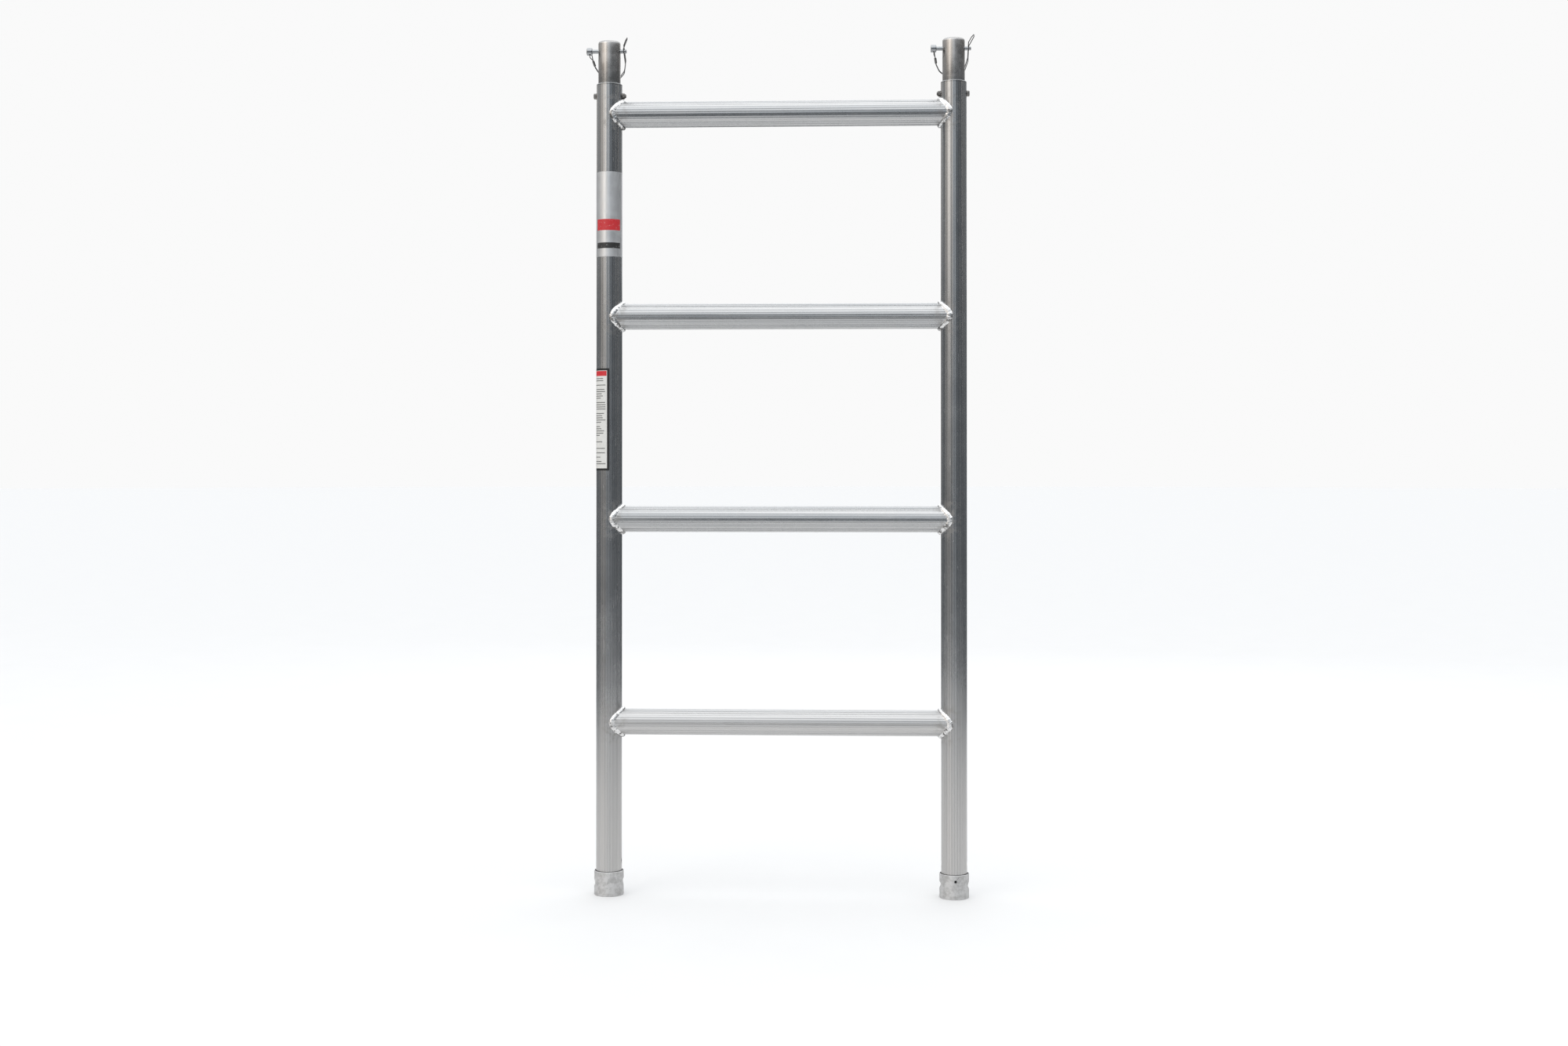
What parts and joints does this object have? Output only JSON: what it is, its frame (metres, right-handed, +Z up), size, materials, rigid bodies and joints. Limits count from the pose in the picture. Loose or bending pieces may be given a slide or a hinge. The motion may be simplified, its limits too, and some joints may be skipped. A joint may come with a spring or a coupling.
{
  "type": "tower scaffold end frame",
  "caption": "Narrow welded aluminium ladder frame of a mobile access tower: fluted stiles and rungs, top spigots with wire-bail locking pins, and open foot sockets.",
  "frame": {"origin": "midway between the two stiles, on the plane of their feet", "axes": "+Z up the stiles, +X across the frame towards the right stile, -Y towards the side the picture was taken from"},
  "size_m": [0.7643, 0.0932, 1.6881],
  "materials": {
    "stile_tube": "extruded, finely fluted",
    "rung_tube": "extruded, finely fluted",
    "weld_metal": "bright rippled weld",
    "foot_collar": "dull mottled",
    "spigot_tube": "drawn, satin",
    "zinc_fixing": "zinc plated",
    "plated_pin": "bright plated",
    "spring_wire": "drawn spring wire",
    "crimp_ferrule": "dark crimped",
    "foil_label": "silver film",
    "printed_label": "printed film"
  },
  "bodies": {
    "frame": {"foil_wrap_label": "foil_label", "left_bolt_head_washer": "zinc_fixing", "left_foot_collar": "foot_collar", "left_nut_washer": "zinc_fixing", "left_spigot": "spigot_tube", "left_spigot_bolt": "zinc_fixing", "left_spigot_nut": "zinc_fixing", "left_stile": "stile_tube", "notice_label": "printed_label", "right_bolt_head_washer": "zinc_fixing", "right_foot_collar": "foot_collar", "right_nut_washer": "zinc_fixing", "right_spigot": "spigot_tube", "right_spigot_bolt": "zinc_fixing", "right_spigot_nut": "zinc_fixing", "right_stile": "stile_tube", "rung_1": "rung_tube", "rung_1_left_weld": "weld_metal", "rung_1_right_weld": "weld_metal", "rung_2": "rung_tube", "rung_2_left_weld": "weld_metal", "rung_2_right_weld": "weld_metal", "rung_3": "rung_tube", "rung_3_left_weld": "weld_metal", "rung_3_right_weld": "weld_metal", "rung_4": "rung_tube", "rung_4_left_weld": "weld_metal", "rung_4_right_weld": "weld_metal"},
    "left_pin": {"left_locking_pin": "plated_pin"},
    "left_wire": {"left_bail": "spring_wire", "left_bail_ferrule": "crimp_ferrule"},
    "right_pin": {"right_locking_pin": "plated_pin"},
    "right_wire": {"right_bail": "spring_wire", "right_bail_ferrule": "crimp_ferrule"}
  },
  "joints": [
    {"name": "left_pin_withdraw", "type": "slide", "parent": "frame", "child": "left_pin", "axis": [-1, 0, 0], "range_m": [0, 0.06]},
    {"name": "left_bail_swing", "type": "hinge", "parent": "left_pin", "child": "left_wire", "pos_m": [-0.379, 0, 1.666], "axis": [0, 0.5736, 0.8192], "range_deg": [0, 225.5]},
    {"name": "right_pin_withdraw", "type": "slide", "parent": "frame", "child": "right_pin", "axis": [-1, 0, 0], "range_m": [0, 0.06]},
    {"name": "right_bail_swing", "type": "hinge", "parent": "right_pin", "child": "right_wire", "pos_m": [0.301, 0, 1.666], "axis": [0, 0.5736, 0.8192], "range_deg": [0, 225.5]}
  ],
  "couplings": [
    {"joint": "left_bail_swing", "follows": "left_pin_withdraw", "rad_per_m": 65.45},
    {"joint": "right_bail_swing", "follows": "right_pin_withdraw", "rad_per_m": 65.45}
  ]
}
